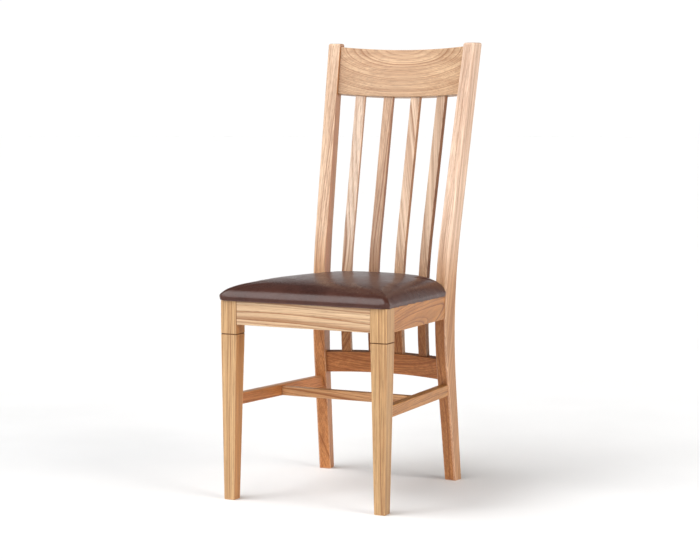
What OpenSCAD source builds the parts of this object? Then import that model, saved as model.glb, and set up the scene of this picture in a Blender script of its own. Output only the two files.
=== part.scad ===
// Dining chair in oak with a high slatted back and an upholstered seat.
// Every piece is a separate solid, joined by mortise and tenon or by screws.
// The origin is on the floor, at the middle of the overall box. +Z is up, -Y is
// the front, and right (+X) is the right side of somebody facing the chair.

/* [Overall] */
// Height of the rear posts
total_h = 1032; // [860:5:1240]
// Width over the front legs
front_w = 413; // [380:1:496]
// Distance between the middles of the rear posts at the seat
post_pitch = 320; // [290:1:360]
// From the front of the front legs to the front of the rear posts
seat_d = 386; // [330:1:464]
// Height of the top of the seat rails at the front
seat_h = 454; // [410:1:500]
// Fall of the seat towards the back, in degrees
seat_fall = 1.5; // [0:0.1:3]

/* [Front legs] */
// Width and depth of a leg above the groove
leg_w = 40; // [34:1:50]
// Width of a leg's foot
foot_w = 26.5; // [22:0.5:34]
// Depth of a leg's foot
foot_d = 27.5; // [22:0.5:34]
// How far the foot stands inside the leg's outer face
foot_in_side = 5; // [0:0.5:8]
// How far the foot stands behind the leg's front face
foot_in_front = 1.8; // [0:0.1:6]
// Gap between the seat rails and the groove round the leg
groove_below = 22; // [10:1:40]
// Width of the groove
groove_w = 2.6; // [1.6:0.1:4]
// Depth of the groove
groove_d = 1.5; // [0.8:0.1:2.5]

/* [Rear posts] */
// Thickness of a post, seen from the front
post_w = 30; // [25:1:38]
// Turn of each post's face towards the sitter, in degrees
post_turn = 8.4; // [4:0.1:12]
// Depth of a post's foot
post_foot_d = 27; // [24:0.5:34]
// Splay of the front edge of the post's leg, in degrees
splay_front = 8.1; // [6:0.1:10]
// Splay of the back edge of the post's leg, in degrees
splay_back = 6.05; // [4:0.05:8]
// Rake of the front edge of the back, in degrees
rake_front = 12.6; // [9:0.1:15]
// Rake of the back edge of the back, in degrees
rake_back = 11.7; // [8:0.1:14]
// Height where the front edge starts to bend
bend_front_lo = 269; // [240:1:300]
// Height where the front edge stops bending
bend_front_hi = 590; // [560:1:640]
// Height where the back edge starts to bend
bend_back_lo = 237; // [210:1:270]
// Height where the back edge stops bending
bend_back_hi = 603; // [570:1:660]

/* [Seat rails] */
// Height of the seat rails
rail_h = 54.5; // [45:0.5:66]
// Thickness of the front and side rails
rail_t = 22; // [18:1:27]
// Thickness of the rear rail, which stands in front of the slats
rear_rail_t = 18; // [15:0.5:20]
// Step from the posts' inner corners back to the rear rail's face
rear_reveal = 1; // [0.5:0.5:3]
// Step from the leg's face back to the front rail's face
front_reveal = 1; // [0:0.5:3]
// Step from the leg's outer face in to the side rail's face
side_reveal = 1.5; // [0:0.5:4]
// Step from the post's outer corner in to the side rail's face
post_reveal = 2.5; // [1:0.5:6]

/* [Joints] */
// Length of the seat rails' tenons
tenon_l = 18; // [12:1:22]
// Thickness of the tenons
tenon_t = 9; // [7:0.5:11]
// Height of the seat rails' tenons
tenon_h = 20; // [16:1:24]
// Length of the tenons of the back and of the rear rail
back_tenon_l = 14; // [10:1:17]
// Length of the stretchers' tenons
stretcher_tenon_l = 12; // [9:1:15]
// Clearance round a tenon in its mortise
fit_gap = 0.15; // [0.05:0.05:0.3]

/* [Back] */
// Thickness of the crest rail and of the lower rail
back_rail_t = 22; // [18:1:25]
// Step from the posts' front edge back to the rails at their ends
back_setback = 8.5; // [5:0.5:10]
// Depth of the back's curve between the posts
back_curve = 21.5; // [15:0.5:26]
// Height of the crest rail along its slope
crest_h = 115; // [90:1:138]
// Step from the top of the posts down to the crest rail
crest_drop = 8; // [2:0.5:12]
// Dip of the crest rail's edges at the middle
crest_dip = 3; // [0:0.5:8]
// Height of the lower rail
low_rail_h = 50; // [40:1:60]
// Height of the lower rail's bottom edge above the floor
low_rail_z = 242; // [210:1:265]
// Number of slats
slat_count = 4; // [2:2:4]
// Width of a slat
slat_w = 24.5; // [20:0.5:30]
// Thickness of a slat
slat_t = 13; // [10:0.5:16]
// Distance between slats at the lower rail
slat_pitch_low = 67; // [55:0.5:72]
// Distance between slats at the crest rail
slat_pitch_top = 71; // [60:0.5:78]
// How far a slat goes into each rail
slat_in = 12; // [8:1:16]

/* [Stretchers] */
// Height of the side stretchers' bottom edge at the front
stretcher_z = 212; // [180:1:250]
// Fall of the side stretchers towards the back, in degrees
stretcher_fall = 0.8; // [0:0.1:2]
// Height of a side stretcher
stretcher_h = 26; // [20:1:32]
// Thickness of a side stretcher
stretcher_t = 20; // [16:1:22]
// Step from the leg's and the post's outer faces in to the stretcher
stretcher_reveal = 1.8; // [1:0.1:4]
// Distance of the cross stretcher behind the front of the front legs
cross_y = 217; // [150:1:260]
// Height of the cross stretcher
cross_h = 20.5; // [16:0.5:24]
// Thickness of the cross stretcher
cross_t = 20; // [16:1:22]
// Step from the side stretchers' bottom edge up to the cross stretcher
cross_up = 0.8; // [0:0.1:5]

/* [Seat pad] */
// How far the pad stands out past the front legs
pad_over = 5; // [0:0.5:8]
// How far the pad stands out past the side rails at the back
pad_over_rear = 2.5; // [0:0.5:4]
// How far the pad reaches back between the posts
pad_back = 18; // [10:1:19]
// Height of the pad's upright edge
pad_edge_h = 18; // [14:1:26]
// Height of the pad at the middle
pad_crown = 48; // [38:1:56]
// Width of the pad's rounded shoulder
pad_shoulder = 42; // [24:1:60]
// Radius of the pad's corners
pad_corner_r = 14; // [8:1:24]
// Gap between the pad and the rear posts
pad_gap = 1.5; // [0.5:0.5:4]
// Thickness of the leather cover
cover_t = 1.2; // [0.8:0.1:2]
// Width of the cover's turned-under edge
hem_w = 40; // [34:1:50]
// Thickness of the plywood board
board_t = 9; // [6:1:15]
// Thickness of the dust cover's cloth
cloth_t = 0.6; // [0.4:0.1:1]
// Gap between the dust cover and the rails
cloth_gap = 4; // [2:0.5:8]

/* [Fasteners] */
// How far a corner block reaches past the leg, along the rails
block_past = 35; // [28:1:45]
// Height of the corner blocks
block_h = 25; // [20:1:30]
// Gap between the corner blocks and the pad
block_drop = 6; // [4:0.5:12]
// Gap between a corner block and the leg or post
block_gap = 1; // [0.5:0.5:3]
// Width of a corner block's blunt ends
block_tip = 8; // [4:1:12]
// Distance of a block's screws from its ends
screw_in = 22; // [16:1:28]
// Distance of a seat screw from the leg, along both rails
seat_screw_clear = 11; // [8:1:14]
// Depth of the seat screws' heads in the blocks
seat_screw_recess = 8; // [4:1:10]
// Radius of a screw's shank
screw_r = 2; // [1.5:0.1:2.5]
// Radius of a screw's head
screw_head_r = 4; // [3:0.1:5]
// Height of a screw's head
screw_head_h = 2.6; // [2:0.1:3.5]
// Clearance round a screw
screw_gap = 0.1; // [0.05:0.05:0.3]
// Wood left under a screw's head
screw_wood = 12; // [8:1:16]
// How far a screw goes into what it holds
screw_bite = 14; // [10:1:16]
// How far a seat screw goes into the board
board_bite = 7; // [4:0.5:8]
// Distance between staples
staple_pitch = 38; // [25:1:60]
// Width of a staple
staple_w = 10; // [8:0.5:13]
// Thickness of the staples' wire
staple_wire = 0.7; // [0.5:0.1:1]
// Length of a staple's legs in the board
staple_leg = 5; // [3:0.5:7]

/* [Hidden] */
oak = "burlywood";
shaded_oak = "tan";
leather = "#4f3b38";
steel = "silver";
bend_steps = 16;
far = 500;
root = 6;

// The post's front and back edges, as distances behind its reference line,
// which passes the front edge at the middle of the seat rails.
function lean(z, lo, hi, a0, a1) =
    z <= lo ? a0 * z
    : z < hi ? a0 * z + (a1 - a0) * pow(z - lo, 2) / (2 * (hi - lo))
    : a0 * z + (a1 - a0) * (z - (lo + hi) / 2);
function front_lean(z) =
    lean(z, bend_front_lo, bend_front_hi, -tan(splay_front), tan(rake_front));
function back_lean(z) =
    lean(z, bend_back_lo, bend_back_hi, -tan(splay_back), tan(rake_back));
rail_mid_z = seat_h - rail_h / 2;
function front_edge(z) = front_lean(z) - front_lean(rail_mid_z);
function back_edge(z) = front_edge(0) + post_foot_d + back_lean(z);
// Slope of the front edge, and how much longer a level cut through a leaning piece is
// than the piece is thick
function slope(z) =
    let (turned = (z - bend_front_lo) / (bend_front_hi - bend_front_lo))
    -tan(splay_front) + (tan(rake_front) + tan(splay_front)) * min(1, max(0, turned));
function level(z) = sqrt(1 + pow(slope(z) * cos(post_turn), 2));

crest_slope = atan(tan(rake_front) * cos(post_turn));
crest_z = total_h - crest_drop - crest_h / 2 * cos(crest_slope);

// The overall box runs from the pad's front to the posts' tops, or to the crest rail's middle
post_reach = back_edge(total_h) * cos(post_turn) + post_w / 2 * sin(post_turn);
crest_reach = (front_edge(crest_z) + back_setback) * cos(post_turn) + post_w / 2 * sin(post_turn)
    + (back_curve + back_rail_t) * cos(crest_slope) + (crest_h / 2 - crest_dip) * sin(crest_slope);
reach = seat_d + max(post_reach, crest_reach);
pad_front = -pad_over * cos(seat_fall);
front_y = -(reach + pad_front) / 2;
post_y = front_y + seat_d;
leg_x = front_w / 2;
leg_in_x = leg_x - leg_w;
groove_z = seat_h - rail_h - groove_below;
post_in = post_w / 2 * cos(post_turn);
post_in_y = post_y + post_w / 2 * sin(post_turn);

// Side rail: its outer face runs from the leg to the post
side_front_x = leg_x - side_reveal;
side_rear_x = post_pitch / 2 + post_in - post_reveal;
side_run = seat_d - leg_w;
side_angle = atan((side_front_x - side_rear_x) / side_run);
rear_rail_y = post_in_y + rear_reveal;
tenon_shift = rail_h / 4;

// Back: half the clear width between the posts, and the slats' places
function back_half(z) = post_pitch / 2 + sin(post_turn) * (front_edge(z) + back_setback) - post_in;
function back_y(z) = post_in_y + cos(post_turn) * (front_edge(z) + back_setback);
function curve_r(half) = (half * half + back_curve * back_curve) / (2 * back_curve);
low_z = low_rail_z + low_rail_h / 2;
low_slope = atan(slope(low_z) * cos(post_turn));
crest_half = back_half(crest_z);
low_half = back_half(low_z);
slat_top_z = crest_z - crest_h / 2 * cos(crest_slope) + slat_in;
slat_bottom_z = low_z + low_rail_h / 2 - slat_in;
slat_setin = (back_rail_t - slat_t) / 2;

// Stretchers
function leg_taper(z) = max(0, (groove_z - z) / groove_z);
stretcher_leg_x = leg_x - foot_in_side * leg_taper(stretcher_z) - stretcher_reveal;
stretcher_post_x = post_pitch / 2 + post_in + sin(post_turn) * front_edge(stretcher_z)
    - stretcher_reveal;
stretcher_leg_y = leg_w - (leg_w - foot_in_front - foot_d) * leg_taper(stretcher_z + stretcher_h / 2);
stretcher_run = seat_d + front_edge(stretcher_z) - stretcher_leg_y;
stretcher_angle = atan((stretcher_leg_x - stretcher_post_x) / stretcher_run);
cross_z = stretcher_z - (cross_y - stretcher_leg_y) * tan(stretcher_fall) + cross_up;
stretcher_tenon_h = cross_h * 0.7;

// Pad: half widths at the front and at the posts' front edge
pad_half_front = leg_x + pad_over;
pad_half_rear = side_rear_x + pad_over_rear;
pad_rear_y = seat_d + pad_back;
pad_taper = (pad_half_front - pad_half_rear) / seat_d;
board_z = cover_t;
foam_z = cover_t + board_t;
block_mid_z = -block_drop - block_h / 2;

// ---- Frames and helpers. Side pieces are drawn on the right and mirrored. ----
module left() mirror([1, 0, 0]) children();
module both() {
    children();
    left() children();
}
module on_seat() translate([0, front_y, seat_h]) rotate([-seat_fall, 0, 0]) children();
module at_post() translate([post_pitch / 2, post_y, 0]) rotate([0, 0, -post_turn]) children();
module at_side_rail() on_seat() translate([side_front_x, leg_w, 0]) rotate([0, 0, side_angle])
    children();
module at_stretcher()
    translate([stretcher_leg_x, front_y + stretcher_leg_y, stretcher_z])
        rotate([-stretcher_fall, 0, stretcher_angle]) children();
module at_crest() translate([0, back_y(crest_z), crest_z]) rotate([-crest_slope, 0, 0]) children();
module at_low_rail() translate([0, back_y(low_z), low_z]) rotate([-low_slope, 0, 0]) children();

module above_seat() on_seat() translate([-far, -far, 0]) cube([2 * far, 3 * far, far]);
// A tenon along +X from the shoulder at the origin; g makes it a mortise
module tenon(l, h, g) translate([-root, -tenon_t / 2 - g, -h / 2 - g])
    cube([root + l + g, tenon_t + 2 * g, h + 2 * g]);
module box_on(x, y, z, size) translate([x, y, z]) cube(size);

// ---- Front legs ----
// One view of the leg: outer face at 0, inner face at w, foot from a to b, with the groove
module leg_view(w, a, b) polygon([
    [a, 0], [0, groove_z - groove_w / 2], [groove_d, groove_z], [0, groove_z + groove_w / 2],
    [0, seat_h + root], [w, seat_h + root], [w, groove_z + groove_w / 2], [w - groove_d, groove_z],
    [w, groove_z - groove_w / 2], [b, 0]]);
module leg_blank() intersection() {
    translate([leg_x, front_y - root, 0]) rotate([90, 0, 180])
        linear_extrude(leg_w + 2 * root) leg_view(leg_w, foot_in_side, foot_in_side + foot_w);
    translate([leg_x - leg_w - root, front_y, 0]) rotate([90, 0, 90])
        linear_extrude(leg_w + 2 * root) leg_view(leg_w, foot_in_front, foot_in_front + foot_d);
}
module front_leg() color(oak) difference() {
    leg_blank();
    above_seat();
    front_rail_tenon(fit_gap);
    side_rail_front_tenon(fit_gap);
    stretcher_front_tenon(fit_gap);
}

// ---- Rear posts ----
function bend_z(lo, hi) = [for (i = [0 : bend_steps]) lo + (hi - lo) * i / bend_steps];
// The post's side view, cut level at the floor and at the top; the edges can be moved out
module post_view(grow_front, grow_back) {
    front_zs = concat([0], bend_z(bend_front_lo, bend_front_hi), [total_h]);
    back_zs = concat([0], bend_z(bend_back_lo, bend_back_hi), [total_h]);
    last = len(back_zs) - 1;
    polygon(concat(
        [for (z = front_zs) [front_edge(z) - grow_front, z]],
        [for (i = [last : -1 : 0]) [back_edge(back_zs[i]) + grow_back, back_zs[i]]]));
}
module post_blank(grow_front = 0, grow_back = 0, grow_side = 0)
    at_post() rotate([90, 0, 90])
        linear_extrude(post_w + 2 * grow_side, center = true) post_view(grow_front, grow_back);
module beyond_post() at_post() box_on(-post_w / 2, -far, -far, [far, 2 * far, 4 * far]);
module rear_post() color(oak) difference() {
    post_blank();
    side_rail_rear_tenon(fit_gap);
    stretcher_rear_tenon(fit_gap);
    rear_rail_tenon(fit_gap);
    crest_tenon(fit_gap);
    low_rail_tenon(fit_gap);
}

// ---- Seat rails ----
module front_rail_bar() box_on(-leg_in_x, front_y + front_reveal, seat_h - rail_h,
    [2 * leg_in_x, rail_t, rail_h + root]);
module front_rail_tenon(g = 0)
    translate([leg_in_x, front_y + front_reveal + rail_t / 2, rail_mid_z - tenon_shift])
        tenon(tenon_l, tenon_h, g);
module front_seat_rail() color(oak) difference() {
    union() {
        front_rail_bar();
        both() front_rail_tenon();
    }
    above_seat();
    both() block_screws_front(screw_gap);
}

module side_rail_bar() at_side_rail()
    box_on(-rail_t, -root, -rail_h, [rail_t, side_run + 2 * root, rail_h]);
module side_rail_front_tenon(g = 0) at_side_rail()
    translate([-rail_t / 2, 0, tenon_shift - rail_h / 2]) rotate([0, 0, -90])
        tenon(tenon_l, tenon_h, g);
module side_rail_rear_tenon(g = 0) at_side_rail()
    translate([-rail_t / 2, side_run / cos(side_angle), tenon_shift - rail_h / 2])
        rotate([0, 0, 90]) tenon(tenon_l, tenon_h, g);
module side_seat_rail() color(oak) difference() {
    union() {
        difference() {
            side_rail_bar();
            leg_blank();
            post_blank(grow_back = far, grow_side = far / 10);
        }
        side_rail_front_tenon();
        side_rail_rear_tenon();
    }
    block_screws_side_front(screw_gap);
    block_screws_side_rear(screw_gap);
}

module rear_rail_bar() box_on(-leg_x, rear_rail_y, seat_h - rail_h - seat_d * tan(seat_fall),
    [2 * leg_x, rear_rail_t, 2 * rail_h]);
module rear_rail_tenon(g = 0)
    at_post() translate([-post_w / 2, rear_rail_y - post_in_y + rear_rail_t / 2,
            rail_mid_z - tenon_shift - seat_d * tan(seat_fall)])
        tenon(back_tenon_l, tenon_h, g);
module rear_seat_rail() color(oak) difference() {
    union() {
        difference() {
            rear_rail_bar();
            both() beyond_post();
        }
        both() rear_rail_tenon();
    }
    above_seat();
    both() block_screws_rear(screw_gap);
}

// ---- Back ----
// A bar curved in plan, with its front face on the arc between the posts
module curved_bar(half, h) {
    r = curve_r(half);
    translate([0, 0, -h / 2]) linear_extrude(h) intersection() {
        translate([0, back_curve - r]) difference() {
            circle(r + back_rail_t, $fn = 360);
            circle(r, $fn = 360);
        }
        translate([-half - 2 * root, -2 * root])
            square([2 * half + 4 * root, back_curve + back_rail_t + 3 * root]);
    }
}
function dip(x, half) = crest_dip * (pow(x / half, 2) - 1);
module crest_outline() {
    half = crest_half + 2 * root;
    step = half / 12;
    polygon(concat(
        [for (x = [-half : step : half + step / 2]) [x, dip(x, crest_half) - crest_h / 2]],
        [for (x = [half : -step : -half - step / 2]) [x, dip(x, crest_half) + crest_h / 2]]));
}
module crest_blank() at_crest() intersection() {
    curved_bar(crest_half, crest_h + 4 * crest_dip);
    translate([0, far / 2, 0]) rotate([90, 0, 0]) linear_extrude(far) crest_outline();
}
module crest_tenon(g = 0) at_post() translate([-post_w / 2,
        front_edge(crest_z) + back_setback + back_rail_t / 2 * level(crest_z), crest_z])
    rotate([-rake_front, 0, 0]) tenon(back_tenon_l, crest_h - 2 * tenon_h, g);
module crest_rail() color(oak) difference() {
    union() {
        difference() {
            crest_blank();
            both() beyond_post();
        }
        both() crest_tenon();
    }
    for (i = [1 : slat_count]) slat_bar(i, slat_top_z - crest_h / 2, slat_top_z + fit_gap, fit_gap);
}

module low_rail_tenon(g = 0) at_post() translate([-post_w / 2,
        front_edge(low_z) + back_setback + back_rail_t / 2, low_z])
    rotate([splay_front, 0, 0]) tenon(back_tenon_l, low_rail_h - tenon_h, g);
module lower_back_rail() color(shaded_oak) difference() {
    union() {
        difference() {
            at_low_rail() curved_bar(low_half, low_rail_h);
            both() beyond_post();
        }
        both() low_rail_tenon();
    }
    for (i = [1 : slat_count]) slat_bar(i, slat_bottom_z, slat_bottom_z + low_rail_h, fit_gap);
}

// The slats follow the post's bend and stand inside the rails' thickness, turned to the arc
function slat_x(i, z) =
    let (low = front_edge(slat_bottom_z), top = front_edge(slat_top_z))
    let (up = (front_edge(z) - low) / (top - low))
    (i - (slat_count + 1) / 2) * (slat_pitch_low + (slat_pitch_top - slat_pitch_low) * up);
function arc_depth(x, half) = let (r = curve_r(half)) sqrt(r * r - x * x) - r + back_curve;
function slat_y(i, z) =
    back_y(z) + (arc_depth(slat_x(i, z), back_half(z)) + slat_setin) * level(z);
function slat_turn(i) = asin(slat_x(i, seat_h) / curve_r(back_half(seat_h)));
function slat_ring(i, z, g) =
    let (a = slat_turn(i), side = [cos(a), -sin(a), 0], back = [sin(a), cos(a), 0])
    let (middle = [slat_x(i, z), slat_y(i, z), z], half = slat_w / 2 + g)
    let (front = middle - g * back, rear = middle + (slat_t * level(z) + g) * back)
    [front - half * side, front + half * side, rear + half * side, rear - half * side];
module slat_bar(i, z0, z1, g = 0) {
    bends = [for (z = bend_z(bend_front_lo, bend_front_hi)) if (z > z0 + 1 && z < z1 - 1) z];
    rings = [for (z = concat([z0], bends, [z1])) slat_ring(i, z, g)];
    last = 4 * (len(rings) - 1);
    sides = [for (n = [0 : 4 : last - 4], j = [0 : 3])
        [n + j, n + 4 + j, n + 4 + (j + 1) % 4, n + (j + 1) % 4]];
    polyhedron([for (ring = rings) each ring],
        concat([[0, 1, 2, 3]], sides, [[last + 3, last + 2, last + 1, last]]));
}
module back_slat(i) color(oak) slat_bar(i, slat_bottom_z, slat_top_z);

// ---- Stretchers ----
module stretcher_bar() at_stretcher()
    box_on(-stretcher_t, -root, 0, [stretcher_t, stretcher_run + 2 * root, stretcher_h]);
module stretcher_front_tenon(g = 0) at_stretcher()
    translate([-stretcher_t / 2, 0, stretcher_h / 2]) rotate([0, 0, -90])
        tenon(stretcher_tenon_l, stretcher_tenon_h, g);
module stretcher_rear_tenon(g = 0) at_stretcher()
    translate([-stretcher_t / 2, stretcher_run / cos(stretcher_angle), stretcher_h / 2])
        rotate([0, 0, 90]) tenon(stretcher_tenon_l, stretcher_tenon_h, g);
cross_half = stretcher_leg_x - stretcher_t / cos(stretcher_angle)
    - (cross_y + cross_t / 2 - stretcher_leg_y) * tan(stretcher_angle);
module cross_tenon(g = 0)
    translate([cross_half, front_y + cross_y + cross_t / 2, cross_z + cross_h / 2])
        tenon(stretcher_tenon_l, stretcher_tenon_h, g);
module side_stretcher() color(oak) difference() {
    union() {
        difference() {
            stretcher_bar();
            leg_blank();
            post_blank(grow_back = far, grow_side = far / 10);
        }
        stretcher_front_tenon();
        stretcher_rear_tenon();
    }
    cross_tenon(fit_gap);
}
module cross_stretcher() color(oak) {
    difference() {
        box_on(-cross_half - root, front_y + cross_y, cross_z,
            [2 * (cross_half + root), cross_t, cross_h]);
        both() stretcher_bar();
    }
    both() cross_tenon();
}

// ---- Corner blocks and screws, in the seat's frame ----
block_x = side_front_x - rail_t / cos(side_angle)
    + (leg_w - front_reveal - rail_t) * tan(side_angle);
block_front_y = front_reveal + rail_t;
block_rear_y = rear_rail_y - front_y;
block_rear_x = block_x - (block_rear_y - block_front_y) * tan(side_angle);
block_l = leg_w + block_past;
seat_screw_in = leg_w - block_front_y + seat_screw_clear;
seat_screw_l = block_h - seat_screw_recess + block_drop + board_z + board_bite;

module block_plan() polygon([[root, -root], [-block_l, -root], [-block_l, block_tip],
    [-block_tip, block_l], [root, block_l]]);
module front_corner() on_seat() translate([block_x, block_front_y, 0]) children();
module rear_corner() on_seat() translate([block_rear_x, block_rear_y, 0]) mirror([0, 1, 0])
    children();
// A screw pointing down from the underside of its head; g makes it a hole with room to drive it
module screw(l, g = 0) difference() {
    union() {
        translate([0, 0, -l - g]) cylinder(r = screw_r + g, h = l + g, $fn = 24);
        cylinder(r = screw_head_r + 4 * g, h = g > 0 ? block_l : screw_head_h, $fn = 32);
    }
    if (g == 0) for (a = [0, 90]) rotate([0, 0, a])
        box_on(-screw_head_r * 0.6, -0.4, screw_head_h / 2, [screw_head_r * 1.2, 0.8, screw_head_h]);
}
module block_screws_front(g = 0) front_corner()
    translate([screw_in - block_l, screw_wood, block_mid_z]) rotate([-90, 0, 0])
        screw(screw_wood + screw_bite, g);
module block_screws_rear(g = 0) rear_corner()
    translate([screw_in - block_l, screw_wood, block_mid_z]) rotate([-90, 0, 0])
        screw(screw_wood + screw_bite, g);
module side_screw(y, g) at_side_rail()
    translate([-rail_t - screw_wood, (y - leg_w) / cos(side_angle), block_mid_z])
        rotate([0, -90, 0]) screw(screw_wood + screw_bite, g);
module block_screws_side_front(g = 0) side_screw(block_front_y + block_l - screw_in, g);
module block_screws_side_rear(g = 0) side_screw(block_rear_y - block_l + screw_in, g);
module seat_screw_up(g) translate([-seat_screw_in, seat_screw_in,
        seat_screw_recess - block_drop - block_h])
    rotate([180, 0, 0]) screw(seat_screw_l, g);
module seat_screw_pair(g = 0) {
    front_corner() seat_screw_up(g);
    rear_corner() seat_screw_up(g);
}
module corner_block() translate([0, 0, -block_drop - block_h]) linear_extrude(block_h)
    block_plan();
module corner_block_front() color(shaded_oak) difference() {
    front_corner() corner_block();
    front_rail_bar();
    side_rail_bar();
    box_on(leg_in_x - block_gap, front_y - root, 0, [far, leg_w + root + block_gap, 2 * far]);
    block_screws_front(screw_gap);
    block_screws_side_front(screw_gap);
    seat_screw_pair(screw_gap);
}
module corner_block_rear() color(shaded_oak) difference() {
    rear_corner() corner_block();
    rear_rail_bar();
    side_rail_bar();
    post_blank(grow_front = block_gap, grow_side = block_gap);
    block_screws_rear(screw_gap);
    block_screws_side_rear(screw_gap);
    seat_screw_pair(screw_gap);
}
module corner_block_screws() color(steel) both() {
    block_screws_front();
    block_screws_side_front();
    block_screws_rear();
    block_screws_side_rear();
}
module seat_screws() color(steel) both() seat_screw_pair();

// ---- Seat pad, in the seat's frame ----
function pad_half(y) = pad_half_front - pad_taper * y;
// The pad's closed form, drawn in by g all round
module pad_form(g) hull() for (up = [0, 1], back = [0, 1], side = [-1, 1]) {
    in = pad_corner_r + up * pad_shoulder;
    y = back == 0 ? in - pad_over : pad_rear_y - in;
    translate([side * (pad_half(y) - in), y, up == 0 ? g : pad_edge_h])
        cylinder(r = pad_corner_r - g, h = up == 0 ? pad_edge_h - g : pad_crown - pad_edge_h - g,
            $fn = 32);
}
module post_notch(g) both() at_post()
    box_on(-post_w / 2 - g, -g, 0, [far, far, 3 * far]);
module pad_solid(g) difference() {
    on_seat() pad_form(g);
    post_notch(pad_gap + g);
}
module layer(z0, z1) on_seat() box_on(-far, -far, z0, [2 * far, 3 * far, z1 - z0]);
module hem_window() on_seat() translate([0, 0, -root]) linear_extrude(root + cover_t)
    polygon([for (p = [[-1, hem_w - pad_over], [1, hem_w - pad_over],
            [1, pad_rear_y - hem_w], [-1, pad_rear_y - hem_w]])
        [p[0] * (pad_half(p[1]) - hem_w), p[1]]]);
module seat_cover() color(leather) difference() {
    pad_solid(0);
    pad_solid(cover_t);
    hem_window();
    cover_staples(fit_gap);
    dust_cover_staples(fit_gap);
    both() seat_screw_pair(screw_gap);
}
module seat_board() color("wheat") difference() {
    intersection() {
        pad_solid(cover_t);
        layer(board_z, foam_z);
    }
    cover_staples(fit_gap);
    dust_cover_staples(fit_gap);
    both() seat_screw_pair(screw_gap);
}
module seat_foam() color("lightyellow") intersection() {
    pad_solid(cover_t);
    layer(foam_z, pad_crown);
}

// ---- Dust cover and staples ----
cloth_front_y = front_reveal + rail_t + cloth_gap;
cloth_rear_y = block_rear_y - cloth_gap;
function rail_in_x(y) = block_x - (y - block_front_y) * tan(side_angle);
function cloth_x(y) = rail_in_x(y) - cloth_gap;
module dust_cover() color("#26262a") difference() {
    on_seat() translate([0, 0, -cloth_t]) linear_extrude(cloth_t)
        polygon([for (p = [[-1, cloth_front_y], [1, cloth_front_y], [1, cloth_rear_y],
            [-1, cloth_rear_y]]) [p[0] * cloth_x(p[1]), p[1]]]);
    both() box_on(leg_in_x - cloth_gap, front_y, 0, [far, leg_w + cloth_gap, 2 * far]);
    both() post_blank(grow_front = cloth_gap, grow_side = cloth_gap);
    dust_cover_staples(fit_gap);
    both() seat_screw_pair(screw_gap);
}
// A staple under the origin, its crown along X and its legs pointing up
module staple(leg, g) {
    w = staple_wire + 2 * g;
    box_on(-staple_w / 2 - g, -w / 2, -staple_wire - g, [staple_w + 2 * g, w, w]);
    for (side = [-1, 1]) translate([side * (staple_w - staple_wire) / 2 - w / 2, -w / 2, -g])
        cube([w, w, leg + 2 * g]);
}
module staple_row(from, to, leg, g) {
    run = to - from;
    count = floor(norm(run) / staple_pitch);
    for (i = [0 : count - 1]) translate(from + run * (i + 0.5) / count)
        rotate([0, 0, atan2(run[1], run[0])]) staple(leg, g);
}
// Four rows round the seat: the front one at y0, the rear one at y1 and the side ones between
// the half widths x0 and x1, each short of its corners by ends
module staple_ring(y0, y1, x0, x1, ends, z, leg, g) on_seat() translate([0, 0, z]) {
    slant = (x0 - x1) / (y1 - y0);
    staple_row([ends - x0, y0, 0], [x0 - ends, y0, 0], leg, g);
    staple_row([ends - x1, y1, 0], [x1 - ends, y1, 0], leg, g);
    for (side = [-1, 1])
        staple_row([side * (x0 - ends * slant), y0 + ends, 0],
            [side * (x1 + ends * slant), y1 - ends, 0], leg, g);
}
hem_staple_in = hem_w / 2;
hem_front_y = hem_staple_in - pad_over;
hem_rear_y = pad_rear_y - pad_back / 2;
cloth_staple_in = 4;
module cover_staples(g = 0) color(steel) staple_ring(hem_front_y, hem_rear_y,
    pad_half(hem_front_y) - hem_staple_in, pad_half(hem_rear_y) - hem_staple_in,
    post_w, staple_wire, cover_t - staple_wire + staple_leg, g);
module dust_cover_staples(g = 0) color(steel) staple_ring(
    cloth_front_y + cloth_staple_in, cloth_rear_y - cloth_staple_in,
    cloth_x(cloth_front_y) - cloth_staple_in, cloth_x(cloth_rear_y) - cloth_staple_in,
    post_w, -cloth_t, cloth_t + cover_t + staple_leg, g);

left() front_leg();  // front_leg_left
front_leg();  // front_leg_right
left() rear_post();  // rear_post_left
rear_post();  // rear_post_right
front_seat_rail();
left() side_seat_rail();  // side_seat_rail_left
side_seat_rail();  // side_seat_rail_right
rear_seat_rail();
crest_rail();
lower_back_rail();
back_slat(1);  // back_slat_1
back_slat(2);  // back_slat_2
back_slat(3);  // back_slat_3
back_slat(4);  // back_slat_4
left() side_stretcher();  // side_stretcher_left
side_stretcher();  // side_stretcher_right
cross_stretcher();
left() corner_block_front();  // corner_block_front_left
corner_block_front();  // corner_block_front_right
left() corner_block_rear();  // corner_block_rear_left
corner_block_rear();  // corner_block_rear_right
corner_block_screws();
seat_board();
seat_foam();
seat_cover();
dust_cover();
seat_screws();
cover_staples();
dust_cover_staples();
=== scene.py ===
import math

import bpy
import numpy as np
from mathutils import Euler, Matrix, Vector
from mathutils.bvhtree import BVHTree


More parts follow.
